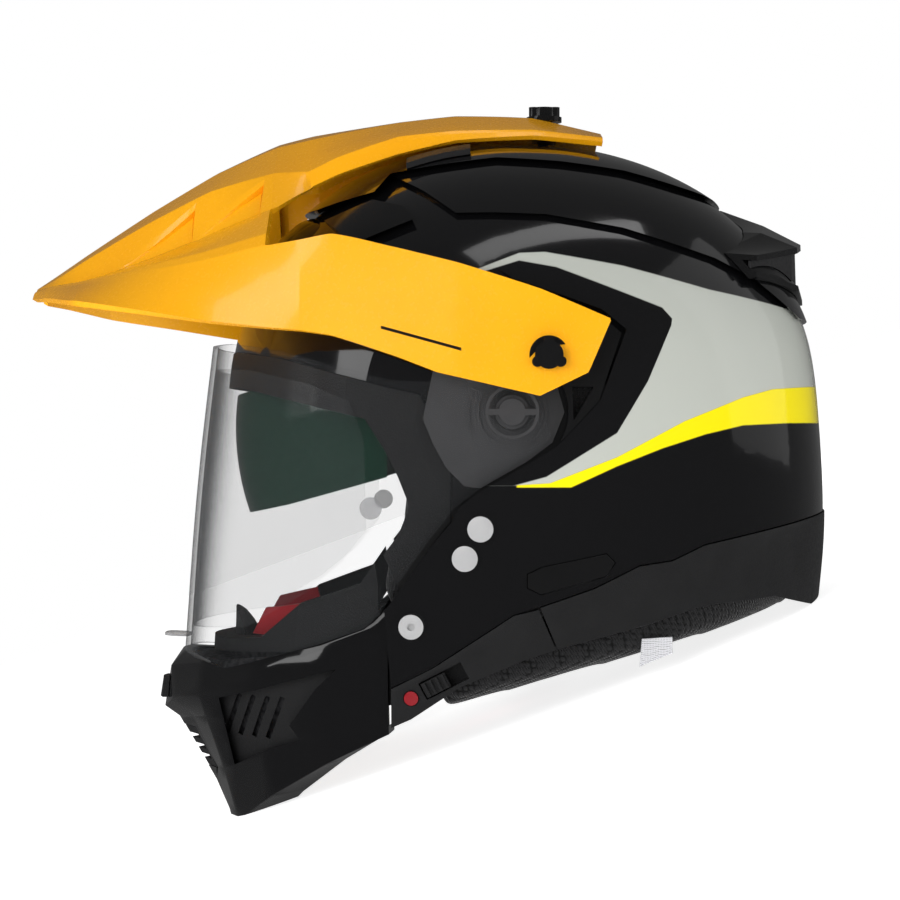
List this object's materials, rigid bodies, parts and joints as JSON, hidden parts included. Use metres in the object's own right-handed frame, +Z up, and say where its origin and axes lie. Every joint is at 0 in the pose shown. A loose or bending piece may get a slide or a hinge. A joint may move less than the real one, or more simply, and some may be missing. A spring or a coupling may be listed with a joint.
{
  "type": "dual sport helmet",
  "caption": "Dual sport motorcycle helmet with a bolted peak, a tilting clear visor, a drop-down sun visor, a removable chin guard and a full soft lining.",
  "frame": {"origin": "middle of the bounding box's footprint, on the table that the chin guard and the nape trim rest on", "axes": "-X to the front of the helmet, +Z up from the table, +Y to the wearer's right; the helmet is tipped back 20.5 degrees from the way it is worn, as it stands on a table"},
  "size_m": [0.371, 0.2734, 0.2917],
  "materials": {
    "shell_black": "gloss",
    "trim_black": "satin",
    "trim_gloss": "gloss",
    "peak_yellow": "gloss",
    "clear_visor": "gloss",
    "clear_insert": "gloss",
    "plate_dark": "satin",
    "seal_rubber": "matte",
    "eps_black": "matte",
    "lever_red": "satin",
    "mesh_dark": "matte",
    "sun_green": "gloss",
    "lining_fabric": "matte",
    "tag_white": "matte",
    "rivet_steel": "satin",
    "strap_webbing": "matte",
    "buckle_steel": "satin",
    "tongue_plastic": "satin"
  },
  "bodies": {
    "helmet": {"outer_shell": "shell_black", "crown_fairing": "shell_black", "peak": "peak_yellow", "brow_intakes": "trim_gloss", "hinge_plate_left": "plate_dark", "hinge_plate_right": "plate_dark", "pivot_caps": "plate_dark", "port_seal": "seal_rubber", "jaw_trim_left": "trim_black", "jaw_trim_right": "trim_black", "nape_trim": "trim_black", "rear_extractor": "trim_gloss", "extractor_mesh": "mesh_dark", "temple_frame_left": "trim_gloss", "temple_frame_right": "trim_gloss", "temple_meshes": "mesh_dark", "impact_liner": "eps_black", "crown_pad": "lining_fabric", "cheek_pad_left": "lining_fabric", "cheek_pad_right": "lining_fabric", "neck_roll": "lining_fabric", "roll_tag": "tag_white", "intercom_cover": "trim_gloss", "strap_rivets": "rivet_steel", "guard_screws": "rivet_steel", "strap_left": "strap_webbing", "strap_right": "strap_webbing", "sun_pivots": "rivet_steel", "buckle_frame": "buckle_steel", "strap_tongue": "tongue_plastic"},
    "visor": {"visor": "clear_visor", "antifog_sheet": "clear_insert", "antifog_pins": "trim_black"},
    "sun_visor": {"sun_visor": "sun_green"},
    "sun_slider": {"sun_slider": "trim_black"},
    "sun_button": {"sun_button": "lever_red"},
    "crown_slider_left": {"crown_slider_left": "trim_black"},
    "crown_slider_right": {"crown_slider_right": "trim_black"},
    "peak_knob_left": {"peak_knob_left": "trim_gloss"},
    "peak_knob_right": {"peak_knob_right": "trim_gloss"},
    "peak_knob_top": {"peak_knob_top": "trim_gloss"},
    "chin_guard": {"chin_guard": "shell_black", "intake_insert_left": "trim_black", "intake_insert_right": "trim_black", "mouth_grille": "trim_black", "chin_liner": "eps_black", "lower_seal": "seal_rubber", "breath_deflector": "seal_rubber"},
    "mouth_slider": {"mouth_slider": "trim_black"},
    "release_lever_left": {"release_lever_left": "lever_red"},
    "release_lever_right": {"release_lever_right": "lever_red"},
    "buckle_lever": {"buckle_lever": "lever_red"}
  },
  "joints": [
    {"name": "visor_swing", "type": "hinge", "parent": "helmet", "child": "visor", "pos_m": [0.02106, 0, 0.13401], "axis": [0, 1, 0], "range_deg": [0, 33]},
    {"name": "sun_visor_swing", "type": "hinge", "parent": "helmet", "child": "sun_visor", "pos_m": [0.0125, 0, 0.13081], "axis": [0, 1, 0], "range_deg": [0, 35]},
    {"name": "sun_slider_travel", "type": "slide", "parent": "helmet", "child": "sun_slider", "axis": [0.9914, 0, 0.1305], "range_m": [0, 0.008]},
    {"name": "sun_button_press", "type": "slide", "parent": "helmet", "child": "sun_button", "axis": [0, 1, 0], "range_m": [0, 0.002], "stiffness_N_per_m": 500},
    {"name": "crown_slider_left_travel", "type": "slide", "parent": "helmet", "child": "crown_slider_left", "axis": [0.9978, 0, -0.0667], "range_m": [0, 0.004]},
    {"name": "crown_slider_right_travel", "type": "slide", "parent": "helmet", "child": "crown_slider_right", "axis": [0.9978, 0, -0.0667], "range_m": [0, 0.004]},
    {"name": "peak_knob_left_turn", "type": "hinge", "parent": "helmet", "child": "peak_knob_left", "pos_m": [0.04468, -0.129, 0.15176], "axis": [0, -1, 0], "continuous": true},
    {"name": "peak_knob_right_turn", "type": "hinge", "parent": "helmet", "child": "peak_knob_right", "pos_m": [0.04468, 0.129, 0.15176], "axis": [0, 1, 0], "continuous": true},
    {"name": "peak_knob_top_turn", "type": "hinge", "parent": "helmet", "child": "peak_knob_top", "pos_m": [0.08881, 0, 0.2621], "axis": [0.3502, 0, 0.9367], "continuous": true},
    {"name": "chin_guard_release", "type": "slide", "parent": "helmet", "child": "chin_guard", "axis": [-0.3502, 0, -0.9367], "range_m": [0, 0.07]},
    {"name": "mouth_slider_travel", "type": "slide", "parent": "chin_guard", "child": "mouth_slider", "axis": [-0.485, 0, -0.8745], "range_m": [0, 0.005]},
    {"name": "release_lever_left_squeeze", "type": "slide", "parent": "chin_guard", "child": "release_lever_left", "axis": [0, 1, 0], "range_m": [0, 0.004], "stiffness_N_per_m": 600},
    {"name": "release_lever_right_squeeze", "type": "slide", "parent": "chin_guard", "child": "release_lever_right", "axis": [0, -1, 0], "range_m": [0, 0.004], "stiffness_N_per_m": 600},
    {"name": "buckle_lever_lift", "type": "hinge", "parent": "helmet", "child": "buckle_lever", "pos_m": [-0.03649, -0.02456, 0.03147], "axis": [-0.9367, 0, 0.3502], "range_deg": [0, 50], "stiffness_Nm_per_rad": 0.05}
  ],
  "couplings": [
    {"joint": "sun_slider_travel", "follows": "sun_visor_swing", "m_per_rad": 0.013096}
  ]
}
